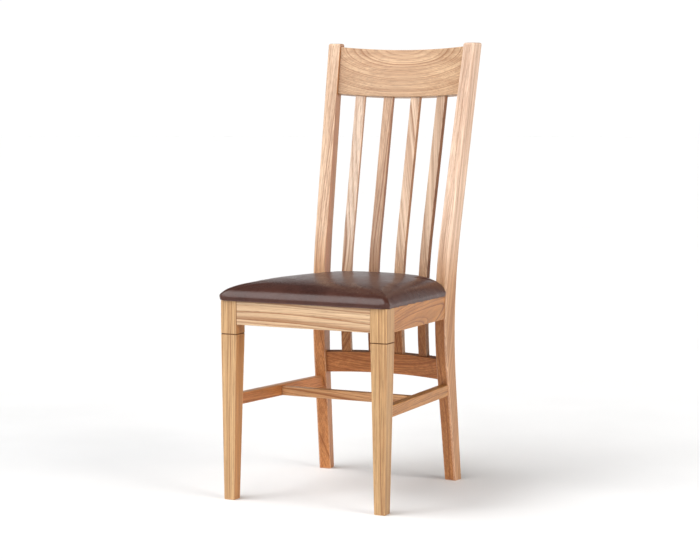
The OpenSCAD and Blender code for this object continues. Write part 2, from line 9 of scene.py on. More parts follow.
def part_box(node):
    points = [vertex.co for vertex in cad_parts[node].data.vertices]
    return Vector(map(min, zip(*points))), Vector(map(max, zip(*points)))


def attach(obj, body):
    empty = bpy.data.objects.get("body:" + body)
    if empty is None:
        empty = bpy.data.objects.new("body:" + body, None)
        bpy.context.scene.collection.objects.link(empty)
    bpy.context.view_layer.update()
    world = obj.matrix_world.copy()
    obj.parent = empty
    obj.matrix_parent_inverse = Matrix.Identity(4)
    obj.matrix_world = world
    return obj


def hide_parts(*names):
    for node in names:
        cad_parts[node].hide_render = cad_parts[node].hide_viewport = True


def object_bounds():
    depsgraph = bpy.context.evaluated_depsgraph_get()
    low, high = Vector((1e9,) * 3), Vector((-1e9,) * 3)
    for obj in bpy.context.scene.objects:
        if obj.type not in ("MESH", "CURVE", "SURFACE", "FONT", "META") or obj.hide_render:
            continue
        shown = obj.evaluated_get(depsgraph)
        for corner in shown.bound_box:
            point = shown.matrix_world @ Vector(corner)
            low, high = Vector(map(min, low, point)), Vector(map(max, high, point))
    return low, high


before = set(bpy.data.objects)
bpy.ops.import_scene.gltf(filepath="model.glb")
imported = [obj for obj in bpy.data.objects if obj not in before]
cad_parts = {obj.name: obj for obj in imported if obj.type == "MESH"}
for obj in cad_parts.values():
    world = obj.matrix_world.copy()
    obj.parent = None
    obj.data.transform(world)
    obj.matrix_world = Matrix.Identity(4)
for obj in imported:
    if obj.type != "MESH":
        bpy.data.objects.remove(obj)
cadLow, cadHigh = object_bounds()
print("frame loaded:", len(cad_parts), "CAD nodes")

mm = 0.001
scene = bpy.context.scene
scene.view_settings.view_transform = "Standard"

# Camera
camera = {
    "fromFront": (2.0853, -3.9236, 0.9435),  # from the middle of the front, on the floor
    "tilt": 84.4, "turn": 26.6, "roll": 0.0,  # degrees
    "lens": 104.74, "sensor": 36.0,
}
lensData = bpy.data.cameras.new("camera")
lensData.lens = camera["lens"]
lensData.sensor_width = camera["sensor"]
lensData.clip_end = 100
view = bpy.data.objects.new("camera", lensData)
view.location = Vector((0, cadLow.y, 0)) + Vector(camera["fromFront"])
view.rotation_euler = Euler([math.radians(camera[k]) for k in ("tilt", "roll", "turn")])
scene.collection.objects.link(view)
scene.camera = view


# Material helpers
def newMaterial(name):
    made = bpy.data.materials.new(name)
    made.use_nodes = True
    made.node_tree.nodes.clear()
    return made, made.node_tree


def addNode(tree, kind, inputs=None, **settings):
    made = tree.nodes.new(kind)
    for key, value in settings.items():
        setattr(made, key, value)
    for key, value in (inputs or {}).items():
        if isinstance(value, bpy.types.NodeSocket):
            tree.links.new(value, made.inputs[key])
        else:
            made.inputs[key].default_value = value
    return made


def sums(tree, operation, first, second=0.0, clamp=False):
    return addNode(tree, "ShaderNodeMath", {0: first, 1: second},
                   operation=operation, use_clamp=clamp).outputs[0]


def scaled(tree, vector, scale):
    return addNode(tree, "ShaderNodeVectorMath", {0: vector, 1: scale},
                   operation="MULTIPLY").outputs[0]


def noise(tree, vector, scale, detail=2.0, rough=0.5):
    stretched = scaled(tree, vector, scale)
    return addNode(tree, "ShaderNodeTexNoise", {
        "Vector": stretched, "Scale": 1.0, "Detail": detail, "Roughness": rough}).outputs


def ramp(tree, value, stops):
    made = addNode(tree, "ShaderNodeValToRGB", {0: value})
    band = made.color_ramp.elements
    while len(band) < len(stops):
        band.new(0.5)
    for element, (place, level) in zip(band, stops):
        element.position = place
        element.color = (level, level, level, 1)
    return made.outputs[0]


def mixed(tree, share, first, second, blend="MIX"):
    made = addNode(tree, "ShaderNodeMix", data_type="RGBA", blend_type=blend)
    for key, value in ((0, share), (6, first), (7, second)):
        if isinstance(value, bpy.types.NodeSocket):
            tree.links.new(value, made.inputs[key])
        else:
            made.inputs[key].default_value = value if key == 0 else (*value, 1)
    return made.outputs[2]


def bumped(tree, height, depth, strength=1.0, under=None):
    inputs = {"Height": height, "Distance": depth, "Strength": strength}
    if under is not None:
        inputs["Normal"] = under
    return addNode(tree, "ShaderNodeBump", inputs).outputs[0]


def finishMaterial(tree, color, roughness, normal, **fixed):
    shader = addNode(tree, "ShaderNodeBsdfPrincipled",
                     {"Base Color": color, "Roughness": roughness, "Normal": normal})
    for key, value in fixed.items():
        shader.inputs[key].default_value = value
    end = addNode(tree, "ShaderNodeOutputMaterial")
    tree.links.new(shader.outputs[0], end.inputs[0])


# Oak
oak = {
    "pale": (0.70, 0.475, 0.305),
    "deep": (0.29, 0.127, 0.057),
    "pore": (0.13, 0.055, 0.020),
    # painted shade, darker and more golden, low on the posts and slats
    "shadeBelow": (0.77, 0.59, 0.41),
    "lines": 1.3,  # how dark the growth rings are
    "dashes": 0.38,  # how dark the short streaks are
    "inner": (1.0, 0.77, 0.53),  # painted shade on faces towards the chair's middle
    "flankShade": (0.78, 0.66, 0.56),  # more painted shade on the posts' and slats' flanks above the seat
    "pores": 0.45,  # how dark the pores are in the early wood
    "ringDrift": 0.9,  # how uneven the rings' widths are
    "roughness": 0.40, "sawnRoughness": 0.62,
    "coat": 0.07, "coatRoughness": 0.28, "specular": 0.30,
}


def oakMaterial(name, node, cut, sawn=False):
    # cut holds away, from the piece's middle to the tree's axis in mm; turn, which takes Z along
    # that axis; ring and wander, in mm; tint; and the height in m below which shade is painted in
    pith, turn = middleOf(node) + Vector(cut["away"]) * mm, cut["turn"]
    ring, wander, shadeBelow = cut["ring"], cut["wander"], cut.get("shadeBelow")
    made, tree = newMaterial(name)
    place = addNode(tree, "ShaderNodeTexCoord").outputs["Object"]
    grain = addNode(tree, "ShaderNodeMapping", {
        "Vector": place, "Location": pith, "Rotation": [math.radians(a) for a in turn]},
        vector_type="TEXTURE").outputs[0]
    drift = noise(tree, grain, (9, 9, 1.6), 2.0)["Color"]
    centred = addNode(tree, "ShaderNodeVectorMath", {0: drift, 1: (0.5, 0.5, 0.5)},
                      operation="SUBTRACT").outputs[0]
    bent = addNode(tree, "ShaderNodeVectorMath",
                   {0: scaled(tree, centred, (wander * 4 * mm, wander * 4 * mm, 0)), 1: grain},
                   operation="ADD").outputs[0]
    flat = scaled(tree, bent, (1, 1, 0))
    radius = addNode(tree, "ShaderNodeVectorMath", {0: flat}, operation="LENGTH").outputs["Value"]
    uneven = addNode(tree, "ShaderNodeTexNoise",
                     {"W": sums(tree, "MULTIPLY", radius, 130.0), "Scale": 1.0, "Detail": 1.0},
                     noise_dimensions="1D").outputs[0]
    rings = sums(tree, "ADD", sums(tree, "DIVIDE", radius, ring * mm),
                 sums(tree, "MULTIPLY", uneven, oak["ringDrift"] * 2))
    along = sums(tree, "FRACT", rings)
    early = ramp(tree, along, [(0.0, 1.0), (0.16, 0.62), (0.42, 0.16), (0.80, 0.0), (1.0, 0.75)])
    each = addNode(tree, "ShaderNodeTexWhiteNoise", {"W": sums(tree, "FLOOR", rings)},
                   noise_dimensions="1D").outputs[0]
    fibre = noise(tree, grain, (620, 620, 9), 3.0, 0.6)[0]
    streak = noise(tree, grain, (75, 75, 1.7), 2.0)[0]
    cloud = noise(tree, grain, (7, 7, 2.2), 1.0)[0]
    poreField = noise(tree, grain, (1150, 1150, 60), 1.0)[0]
    pores = ramp(tree, poreField, [(0.56, 0.0), (0.68, 1.0)])
    ringShare = sums(tree, "MULTIPLY", early,
                     sums(tree, "ADD", sums(tree, "POWER", each, 1.5), 0.22))
    broken = sums(tree, "MULTIPLY", ringShare, ramp(tree, fibre, [(0.25, 0.55), (0.7, 1.0)]))
    share = sums(tree, "MULTIPLY", broken, oak["lines"] * cut.get("lines", 1.0), clamp=True)
    pale = [c * t for c, t in zip(oak["pale"], cut["tint"])]
    deep = [c * t for c, t in zip(oak["deep"], cut["tint"])]
    color = mixed(tree, share, pale, deep)
    dashes = noise(tree, grain, (360, 360, 4), 2.0)[0]
    dashShare = cut.get("dashes", oak["dashes"])
    color = mixed(tree, ramp(tree, dashes, [(0.46, 0.0), (0.64, dashShare)]), color, deep)
    color = mixed(tree, ramp(tree, streak, [(0.34, 0.0), (0.70, 0.42)]), color, deep)
    color = mixed(tree, 1.0, color, ramp(tree, fibre, [(0.25, 0.70), (0.72, 1.15)]), "MULTIPLY")
    color = mixed(tree, 1.0, color, ramp(tree, cloud, [(0.25, 0.88), (0.75, 1.06)]), "MULTIPLY")
    # the inner attribute marks the faces that get painted shade
    inside = addNode(tree, "ShaderNodeAttribute", attribute_name="inner").outputs["Fac"]
    if shadeBelow:
        height = addNode(tree, "ShaderNodeSeparateXYZ", {0: place}).outputs["Z"]
        # painted shade on the flanks above the seat
        above = sums(tree, "MULTIPLY", inside, sums(tree, "GREATER_THAN", height, seatHeight))
        color = mixed(tree, above, color, oak["flankShade"], "MULTIPLY")
        # painted shade: darker and more golden towards the floor
        low = addNode(tree, "ShaderNodeMapRange", {
            "Value": height, "From Min": shadeBelow * 1.35, "From Max": shadeBelow * 0.95,
            "To Min": 0.0, "To Max": 1.0}, interpolation_type="SMOOTHSTEP").outputs[0]
        color = mixed(tree, low, color, oak["shadeBelow"], "MULTIPLY")
    # painted shade on faces towards the chair's middle
    color = mixed(tree, inside, color, oak["inner"], "MULTIPLY")
    poreShare = sums(tree, "MULTIPLY", pores,
                     sums(tree, "ADD", sums(tree, "MULTIPLY", early, oak["pores"]), 0.10))
    color = mixed(tree, poreShare, color, oak["pore"])
    worn = addNode(tree, "ShaderNodeAttribute", attribute_name="arris").outputs["Fac"]
    wornShare = sums(tree, "MULTIPLY", worn, ramp(tree, fibre, [(0.35, 0.10), (0.65, 0.34)]), True)
    color = mixed(tree, wornShare, color, [min(1.0, c * 1.12) for c in pale])
    # painted shade and stain in the legs' groove and along the joints
    hollow = addNode(tree, "ShaderNodeAttribute", attribute_name="hollow").outputs["Fac"]
    color = mixed(tree, sums(tree, "MULTIPLY", hollow, 0.85), color, oak["pore"])
    gloss = oak["sawnRoughness" if sawn else "roughness"]
    roughness = sums(tree, "ADD", sums(tree, "MULTIPLY", fibre, 0.16),
                     sums(tree, "ADD", sums(tree, "MULTIPLY", poreShare, 0.25), gloss - 0.08))
    height = sums(tree, "SUBTRACT", sums(tree, "MULTIPLY", fibre, 0.35),
                  sums(tree, "ADD", poreShare, sums(tree, "MULTIPLY", early, 0.25)))
    normal = bumped(tree, height, 0.12 * mm, 0.8)
    if sawn:  # saw marks across the grain
        marks = noise(tree, grain, (14, 14, 420), 1.0)[0]
        normal = bumped(tree, marks, 0.35 * mm, 0.7, normal)
    finishMaterial(tree, color, roughness, normal, **{
        "Coat Weight": 0.0 if sawn else oak["coat"], "Coat Roughness": oak["coatRoughness"],
        "Specular IOR Level": oak["specular"]})
    return made


# Wooden pieces, softened along their arrises
def deselect():
    bpy.ops.object.select_all(action="DESELECT")


def makeActive(piece):
    deselect()
    piece.select_set(True)
    bpy.context.view_layer.objects.active = piece


def meshPoints(mesh):
    points = np.empty(len(mesh.vertices) * 3)
    mesh.vertices.foreach_get("co", points)
    return points.reshape(-1, 3)


def setPoints(mesh, points):
    mesh.vertices.foreach_set("co", np.ascontiguousarray(points, dtype=np.float32).ravel())
    mesh.update()


def treeOf(node):
    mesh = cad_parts[node].data
    return BVHTree.FromPolygons([v.co for v in mesh.vertices],
                                [tuple(p.vertices) for p in mesh.polygons])


woodNodes = [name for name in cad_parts
             if name.startswith(("front_", "rear_", "side_", "crest", "lower", "back_", "cross"))]
woodTrees = {name: treeOf(name) for name in woodNodes}
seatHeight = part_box("front_seat_rail")[1].z
middleY = (cadLow.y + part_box("lower_back_rail")[0].y) / 2


arrises = {
    "flat": 0.4, "rounded": 24, "smooth": 33,  # degrees between faces
    "rim": 3.0,  # mm, shorter edges are the rims of screws' holes
    "joint": 0.8,  # mm, the easing along a joint
    "joined": 0.4, "shadeAndStain": 0.9,  # mm, how near a neighbour is at a joint, for the easing and for painted shade and stain
    "merge": 0.01, "weld": 0.06,  # mm
    "wornWidth": 2.6, "shadeAndStainWidth": 0.6,  # mm, the widest faces that are worn, or get painted shade and stain
}
# which faces get painted shade
paintedShadeFaces = {
    "slats": 0.14, "axis": 0.08,  # m from the chair's middle
    "square": 0.7, "turned": 0.2,  # how far a face has to look that way
}


def copyOfNode(name, node):
    piece = bpy.data.objects.new(name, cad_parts[node].data.copy())
    piece.data.materials.clear()
    scene.collection.objects.link(piece)
    makeActive(piece)
    bpy.ops.object.mode_set(mode="EDIT")
    bpy.ops.mesh.select_all(action="SELECT")
    bpy.ops.mesh.remove_doubles(threshold=arrises["merge"] * mm)
    bpy.ops.mesh.dissolve_limited(angle_limit=math.radians(arrises["flat"]))
    bpy.ops.object.mode_set(mode="OBJECT")
    if piece.data.has_custom_normals:
        bpy.ops.mesh.customdata_custom_splitnormals_clear()
    return piece


def touches(place, around, gap):
    return any(tree.find_nearest(place, gap * mm)[0] is not None for tree in around)


def edgeFaces(mesh):
    faces = {}
    for polygon in mesh.polygons:
        for key in polygon.edge_keys:
            faces.setdefault(key, []).append(polygon)
    return faces


def softened(name, node, radius, wide=None, groove=None, joint=arrises["joint"]):
    # A copy of a wooden node with its free arrises rounded; where wide["where"] says so, by
    # wide["radius"]. groove picks edges that stay sharp
    piece = copyOfNode(name, node)
    mesh = piece.data
    around = [tree for other, tree in woodTrees.items() if other != node]
    faces = edgeFaces(mesh)
    weights = np.zeros(len(mesh.edges))
    largest = max(radius, wide["radius"] if wide else 0)
    bend = math.radians(arrises["rounded"])
    for edge in mesh.edges:
        pair = faces[tuple(sorted(edge.vertices))]
        if len(pair) != 2 or pair[0].normal.angle(pair[1].normal, 0) < bend:
            continue
        a, b = (mesh.vertices[i].co for i in edge.vertices)
        if (a - b).length < arrises["rim"] * mm:
            continue
        middle = (a + b) / 2
        if groove and groove(middle):
            continue
        if touches(middle, around, arrises["joined"]):
            weights[edge.index] = joint / largest
            continue
        chosen = radius
        if wide and wide["where"](middle, pair[0].normal + pair[1].normal):
            chosen = wide["radius"]
        weights[edge.index] = chosen / largest
    layer = mesh.attributes.new("bevel_weight_edge", "FLOAT", "EDGE")
    layer.data.foreach_set("value", weights.astype(np.float32))
    rounding = piece.modifiers.new("rounding", "BEVEL")
    rounding.limit_method = "WEIGHT"
    rounding.width = largest * mm
    rounding.segments = 3
    rounding.use_clamp_overlap = False
    bpy.ops.object.modifier_apply(modifier="rounding")
    bpy.ops.object.mode_set(mode="EDIT")
    bpy.ops.mesh.select_all(action="SELECT")
    bpy.ops.mesh.remove_doubles(threshold=arrises["weld"] * mm)
    bpy.ops.mesh.dissolve_degenerate(threshold=arrises["merge"] * mm)
    bpy.ops.object.mode_set(mode="OBJECT")
    markArrises(mesh, groove, around)
    bpy.ops.object.shade_smooth_by_angle(angle=math.radians(arrises["smooth"]))
    weighted = piece.modifiers.new("weighted", "WEIGHTED_NORMAL")
    weighted.keep_sharp = True
    weighted.weight = 100
    bpy.ops.object.modifier_apply(modifier="weighted")
    return piece


def getsPaintedShade(place, normal):
    # whether a face gets painted shade: it looks towards the chair's middle, or above the seat to
    # the slats
    if place.z > seatHeight:
        square = abs(normal.x) > paintedShadeFaces["square"]
        return square and (abs(place.x) < paintedShadeFaces["slats"] or normal.x * place.x < 0)
    inward = Vector((-place.x, middleY - place.y))
    turned = normal.xy.dot(inward) > paintedShadeFaces["turned"] * inward.length
    return turned and inward.length > paintedShadeFaces["axis"]


def markArrises(mesh, inGroove, around):
    # narrow faces of a rounding are worn; a groove's and a joint's get painted shade and stain,
    # inner ones painted shade
    worn, shadeAndStain, inner = np.zeros((3, len(mesh.polygons)), dtype=np.float32)
    for polygon in mesh.polygons:
        corners = [mesh.vertices[i].co for i in polygon.vertices]
        longest = max((p - q).length for p, q in zip(corners, corners[1:] + corners[:1]))
        if inGroove and inGroove(polygon.center):
            shadeAndStain[polygon.index] = 1.0
        elif longest > 0 and polygon.area / longest < arrises["wornWidth"] * mm:
            joint = (polygon.area / longest < arrises["shadeAndStainWidth"] * mm
                     and touches(polygon.center, around, arrises["shadeAndStain"]))
            (shadeAndStain if joint else worn)[polygon.index] = 1.0
        inner[polygon.index] = getsPaintedShade(polygon.center, polygon.normal)
    for name, levels in (("arris", worn), ("hollow", shadeAndStain), ("inner", inner)):
        mesh.attributes.new(name, "FLOAT", "FACE").data.foreach_set("value", levels)


def middleOf(node):
    low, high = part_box(node)
    return (low + high) / 2


def placePiece(piece, nodes, material):
    piece.data.materials.clear()
    piece.data.materials.append(material)
    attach(piece, "root")
    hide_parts(*nodes)


# Front legs: rift-sawn, straight lines on both faces
frontLegs = {
    "radius": 2.2, "ring": 4.0, "wander": 3.0, "lines": 1.15,
    "grooveBelow": 22.0, "grooveHalf": 1.4,  # mm, from the front rail down to the groove
    "left": {"away": (190, -150, 0), "tint": (0.93, 0.88, 0.69), "turn": (0.9, 1.2, 0)},
    "right": {"away": (-150, 190, 0), "tint": (0.89, 0.82, 0.61), "turn": (-1.2, 0.8, 0)},
}
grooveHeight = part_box("front_seat_rail")[0].z - frontLegs["grooveBelow"] * mm


def inLegGroove(place):
    return abs(place.z - grooveHeight) < frontLegs["grooveHalf"] * mm


for side in ("left", "right"):
    legNode = "front_leg_" + side
    leg = softened("frontLeg" + side.title(), legNode, frontLegs["radius"], groove=inLegGroove)
    placePiece(leg, [legNode], oakMaterial("oakFrontLeg" + side.title(), legNode,
                                          {**frontLegs, **frontLegs[side]}))
print("front legs done")

# Rear posts: sawn to their bend from straight planks
rearPosts = {
    "radius": 2.2, "frontArris": 4.5, "topBand": 12.0,  # mm
    # below 0.46 m the posts get painted shade, darker and more golden
    "ring": 4.4, "wander": 3.5, "lines": 0.8, "shadeBelow": 0.46,
    "left": {"away": (150, -130, 0), "tint": (1.10, 1.14, 1.23), "turn": (-9.0, -0.5, 0)},
    "right": {"away": (-210, 60, 0), "tint": (1.15, 1.24, 1.45), "turn": (-10.0, 1.2, 0)},
}


def outerFront(side):
    outward = 1 if side == "right" else -1
    return lambda middle, facing: (facing.y < -0.3 and facing.x * outward > 0.2
                                   or middle.z > cadHigh.z - rearPosts["topBand"] * mm)


for side in ("left", "right"):
    postNode = "rear_post_" + side
    post = softened("rearPost" + side.title(), postNode, rearPosts["radius"],
                    wide={"radius": rearPosts["frontArris"], "where": outerFront(side)})
    placePiece(post, [postNode], oakMaterial("oakRearPost" + side.title(), postNode,
                                            {**rearPosts, **rearPosts[side]}))
print("rear posts done")

# Crest rail: cut in a curve through flat layers, which gives its nested arcs
crestRail = {"radius": 2.0, "away": (0, 90, 43), "turn": (0, 90, 0), "ring": 3.1, "wander": 3.0,
             "tint": (0.93, 0.91, 0.87), "lines": 1.15, "dashes": 0.2}
crest = softened("crestRail", "crest_rail", crestRail["radius"])
placePiece(crest, ["crest_rail"], oakMaterial("oakCrestRail", "crest_rail", crestRail))

# its tint is darker and more orange: painted shade, as the rail sits under the seat
lowerRail = {"radius": 2.0, "away": (60, 90, 120), "turn": (0, 91, 0), "ring": 5.0, "wander": 4.0,
             "tint": (0.90, 0.67, 0.47), "lines": 0.8}
lower = softened("lowerBackRail", "lower_back_rail", lowerRail["radius"])
placePiece(lower, ["lower_back_rail"], oakMaterial("oakLowerRail", "lower_back_rail", lowerRail))

# Slats: the first two are cut along the tree, the others slantwise across it
slats = {
    # below 0.44 m the slats get painted shade, darker and more golden
    "radius": 1.8, "shadeBelow": 0.44, "lines": 1.2,
    "cuts": [
        {"away": (40, 130, 0), "turn": (-9.5, 1.5, 0), "ring": 4.6, "wander": 3.5,
         "tint": (1.13, 1.29, 1.56)},
        {"away": (-120, 90, 0), "turn": (-9.0, -0.6, 0), "ring": 4.0, "wander": 2.5,
         "tint": (0.82, 0.80, 0.83)},
        {"away": (80, 70, 0), "turn": (-13.0, -13.0, 0), "ring": 4.4, "wander": 3.0,
         "tint": (1.11, 1.20, 1.36)},
        {"away": (90, -110, 0), "turn": (-14.0, -7.0, 0), "ring": 4.2, "wander": 3.0,
         "tint": (0.98, 1.05, 1.18)},
    ],
}
for number, cut in enumerate(slats["cuts"], 1):
    slatNode = f"back_slat_{number}"
    slat = softened(f"backSlat{number}", slatNode, slats["radius"])
    placePiece(slat, [slatNode], oakMaterial(f"oakSlat{number}", slatNode, {**slats, **cut}))
print("back done")

# Seat rails: wavy lines along the front one, slanting figure on the right one
seatRails = {
    "radius": 1.6,
    "cuts": {
        "front": {"node": "front_seat_rail", "away": (0, 95, -75), "turn": (0, 90.4, 0.6),
                  "ring": 5.0, "wander": 6.5, "tint": (1.08, 1.13, 1.09), "lines": 1.5},
        # the side rails' tints are darker and more orange: painted shade under the pad's overhang
        "sideLeft": {"node": "side_seat_rail_left", "away": (90, 0, 60), "turn": (-90, 0, -4.5),
                     "ring": 4.5, "wander": 4.0, "tint": (0.85, 0.62, 0.38), "joint": 0},
        "sideRight": {"node": "side_seat_rail_right", "away": (-46, 0, -22), "turn": (-80, 0, 9),
                      "ring": 4.6, "wander": 4.5, "tint": (0.80, 0.51, 0.21), "dashes": 0.2,
                      "joint": 0},
        "rear": {"node": "rear_seat_rail", "away": (0, 120, 60), "turn": (0, 90, 0),
                 "ring": 4.5, "wander": 3.5, "tint": (0.9, 0.8, 0.6)},
    },
}
# the stretchers' tints are darker and more orange: painted shade under the seat
stretchers = {
    "radius": 2.0,
    "cuts": {
        "left": {"node": "side_stretcher_left", "away": (-80, 0, 70), "turn": (-89, 0, -7),
                 "ring": 4.2, "wander": 3.5, "tint": (0.90, 0.67, 0.46)},
        "right": {"node": "side_stretcher_right", "away": (-30, 0, -38), "turn": (-86, 0, 7),
                  "ring": 4.5, "wander": 4.0, "tint": (0.80, 0.55, 0.25)},
        "cross": {"node": "cross_stretcher", "away": (0, 60, -40), "turn": (0, 93, 1.5),
                  "ring": 4.2, "wander": 4.0, "tint": (1.04, 0.845, 0.60), "lines": 1.3},
    },
}


def addBars(bars, ending, materialEnding):
    for key, cut in bars["cuts"].items():
        bar = softened(key + ending, cut["node"], bars["radius"],
                       joint=cut.get("joint", arrises["joint"]))
        material = oakMaterial("oak" + key[0].upper() + key[1:] + materialEnding, cut["node"], cut)
        placePiece(bar, [cut["node"]], material)


addBars(seatRails, "SeatRail", "Rail")
print("seat rails done")
addBars(stretchers, "Stretcher", "Stretcher")
print("stretchers done")

# Corner blocks, as they come from the saw
cornerBlocks = {"radius": 0.4, "joint": 0, "away": (20, 30, 80), "ring": 3.6, "wander": 2.0,
                "tint": (0.86, 0.80, 0.65)}
for end in ("front", "rear"):
    for side in ("left", "right"):
        blockNode = f"corner_block_{end}_{side}"
        block = softened(f"cornerBlock{end.title()}{side.title()}", blockNode,
                         cornerBlocks["radius"], joint=cornerBlocks["joint"])
        diagonal = 45 if (end == "front") == (side == "left") else -45
        placePiece(block, [blockNode], oakMaterial(
            f"sawnOak{end.title()}{side.title()}", blockNode,
            {**cornerBlocks, "turn": (0, 90, diagonal)}, sawn=True))
print("corner blocks done")


# Seat pad
# The seat's own frame has X across, Y back from the legs' front and Z up from the rails' tops
seatPad = {
    "fall": 1.5,  # degrees, as the rails are cut
    "halfFront": 211.5, "taper": 0.0951, "front": -5.0, "rear": 404.0,  # mm, its plan
    "notch": ((175.2, 382.2), (143.4, 386.9), (146.0, 404.0)),  # round the right post
    "notchSlope": 0.148,
    "freeTo": 383.0,  # mm from the front, where the posts begin
    "cornerRadius": 11.0, "crown": 49.0,
    "frontRoll": ((0, 9), (2, 14.5), (5, 19.5), (9, 23.5), (15, 27.5), (30, 32.5), (60, 38.5),
                  (110, 44.5), (180, 48.3), (230, 49)),  # height over distance from the edge
    "sideRoll": ((0, 9), (2, 15), (5, 21.5), (9, 27.5), (15, 33), (24, 38), (45, 43),
                 (85, 47.3), (140, 48.7), (180, 49)),
    "rearRoll": ((0, 17), (3, 28), (7, 38), (12, 43.5), (20, 47), (32, 49)),
    "postRoll": ((0, 34), (3, 42), (8, 49)),
    "fullness": 4.0,  # how full the corners are
    "bulge": 2.4, "bulgeHeight": 18, "bulgeReach": 8,  # mm, over the rails' top edges
    "droop": 1.4, "droopHeight": 6, "droopReach": 4,
    "voxel": 5.0, "pressure": 4.0, "cap": 2.0, "frames": 20,
    "cover": 1.2, "hem": 40.0, "board": 9.0,
    "pleats": ((0, 1.3, 3.0), (-11, 0.7, 3.4), (12, 0.7, 3.4)),  # turn, depth and width at a corner
    "pleatReach": 30.0, "pleatTip": 3.2, "pleatFoot": 8, "pleatHeading": 42,  # the last in degrees
    "foamGap": 0.5, "boardGap": 0.3,
}
legLow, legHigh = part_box("front_leg_right")
seatPlace = (Matrix.Translation(Vector((0, legLow.y, legHigh.z)))
             @ Matrix.Rotation(-math.radians(seatPad["fall"]), 4, "X"))


def padHalf(y):
    return seatPad["halfFront"] - seatPad["taper"] * y


def padOutline():
    # The pad's plan in mm, right half from the front's middle to the rear's, then the left half
    r = seatPad["cornerRadius"]
    centre = (padHalf(seatPad["front"] + r) - r, seatPad["front"] + r)
    corner = [(centre[0] + r * math.sin(math.radians(a)), centre[1] - r * math.cos(math.radians(a)))
              for a in range(0, 91, 10)]
    right = [(0, seatPad["front"])] + corner + list(seatPad["notch"])
    left = [(-x, y) for x, y in reversed(right[1:])]
    return right, right + [(0, seatPad["rear"])] + left


def nearestOnOutline(points, outline):
    # Distance to the outline, and the outward direction there
    best = np.full(len(points), 1e9)
    outward = np.zeros((len(points), 2))
    kind = np.zeros(len(points), dtype=int)
    ends = np.array(outline + outline[:1])
    for index, (a, b) in enumerate(zip(ends[:-1], ends[1:])):
        run = b - a
        share = np.clip(((points - a) @ run) / (run @ run), 0, 1)[:, None]
        gap = points - (a + share * run)
        distance = np.hypot(*gap.T)
        nearer = distance < best - 1e-9
        best[nearer] = distance[nearer]
        outward[nearer] = np.array((run[1], -run[0])) / np.hypot(*run)
        kind[nearer] = index
    return best, outward, kind


def rollHeight(distance, roll):
    # Read at several nearby distances, so that the roll has no corners in it
    places, heights = zip(*seatPad[roll])
    reach = np.maximum(distance, 0)
    read = [np.interp(reach * share, places, heights) for share in np.linspace(0.6, 1.4, 9)]
    return np.mean(read, axis=0) / seatPad["crown"]


def padHeight(x, y):
    across = np.abs(x)
    rolls = [rollHeight(y - seatPad["front"], "frontRoll"),
             rollHeight(padHalf(y) - across, "sideRoll"),
             rollHeight(seatPad["rear"] - y, "rearRoll")]
    notchFace = seatPad["notch"][0][1] + (seatPad["notch"][0][0] - across) * seatPad["notchSlope"]
    toPost = np.where(across > seatPad["notch"][1][0], notchFace - y,
                      np.hypot(np.maximum(seatPad["notch"][1][0] - across, 0),
                               np.maximum(notchFace - y, 0)))
    rolls.append(rollHeight(toPost, "postRoll"))
    power = seatPad["fullness"]
    total = sum(roll ** -power for roll in rolls) - len(rolls) + 1
    return seatPad["crown"] * total ** (-1 / power)


def smoothShade(piece):
    makeActive(piece)
    bpy.ops.object.shade_smooth()


def swell(piece, held):
    # Lets the pad swell under pressure, each point by no more than the cap
    before = meshPoints(piece.data)
    group = piece.vertex_groups.new(name="held")
    group.add([int(i) for i in np.flatnonzero(held)], 1.0, "REPLACE")
    cloth = piece.modifiers.new("swelling", "CLOTH")
    settings = cloth.settings
    settings.vertex_group_mass = "held"
    settings.use_pressure = True
    settings.uniform_pressure_force = seatPad["pressure"]
    settings.effector_weights.gravity = 0
    settings.tension_stiffness = settings.compression_stiffness = 12
    settings.bending_stiffness = 2
    cloth.point_cache.frame_start, cloth.point_cache.frame_end = 1, seatPad["frames"]
    for step in range(1, seatPad["frames"] + 1):
        scene.frame_set(step)
    grown = piece.evaluated_get(bpy.context.evaluated_depsgraph_get()).to_mesh()
    moved = meshPoints(grown) - before
    piece.modifiers.remove(cloth)
    piece.vertex_groups.clear()
    scene.frame_set(1)
    length = np.linalg.norm(moved, axis=1, keepdims=True)
    cap = seatPad["cap"] * mm
    moved *= cap * np.tanh(length / cap) / np.maximum(length, 1e-9)
    setPoints(piece.data, before + moved)


def addPadForm():
    right, outline = padOutline()
    top = seatPad["crown"]
    corners = [(x * mm, y * mm, z * mm) for z in (0, top) for x, y in outline]
    count = len(outline)
    sides = [(i, (i + 1) % count, count + (i + 1) % count, count + i) for i in range(count)]
    mesh = bpy.data.meshes.new("seatPad")
    ends = [tuple(reversed(range(count))), tuple(range(count, 2 * count))]
    mesh.from_pydata(corners, [], ends + sides)
    piece = bpy.data.objects.new("seatPad", mesh)
    scene.collection.objects.link(piece)
    makeActive(piece)
    remesh = piece.modifiers.new("even", "REMESH")
    remesh.mode = "VOXEL"
    remesh.voxel_size = seatPad["voxel"] * mm
    bpy.ops.object.modifier_apply(modifier="even")
    points = meshPoints(mesh) / mm
    flat = points[:, :2]
    distance, outward, kind = nearestOnOutline(flat, outline)
    up = np.clip(points[:, 2] / top, 0, 1)
    height = up * padHeight(points[:, 0], points[:, 1])
    free = np.isin(kind, [i for i in range(len(outline))
                          if outline[i][1] < seatPad["freeTo"]
                          and outline[(i + 1) % len(outline)][1] < seatPad["freeTo"]])
    push = (seatPad["bulge"] * np.sin(np.pi * np.clip(height / seatPad["bulgeHeight"], 0, 1))
            * np.exp(-distance / seatPad["bulgeReach"]) * free)
    sink = (seatPad["droop"] * np.clip(1 - height / seatPad["droopHeight"], 0, 1)
            * np.clip(1 - distance / seatPad["droopReach"], 0, 1) * free)
    shaped = np.column_stack([flat + outward * push[:, None], height - sink])
    setPoints(mesh, shaped * mm)
    held = (height < 0.6) | ((distance < 3) & ~free)
    swell(piece, held)
    return piece


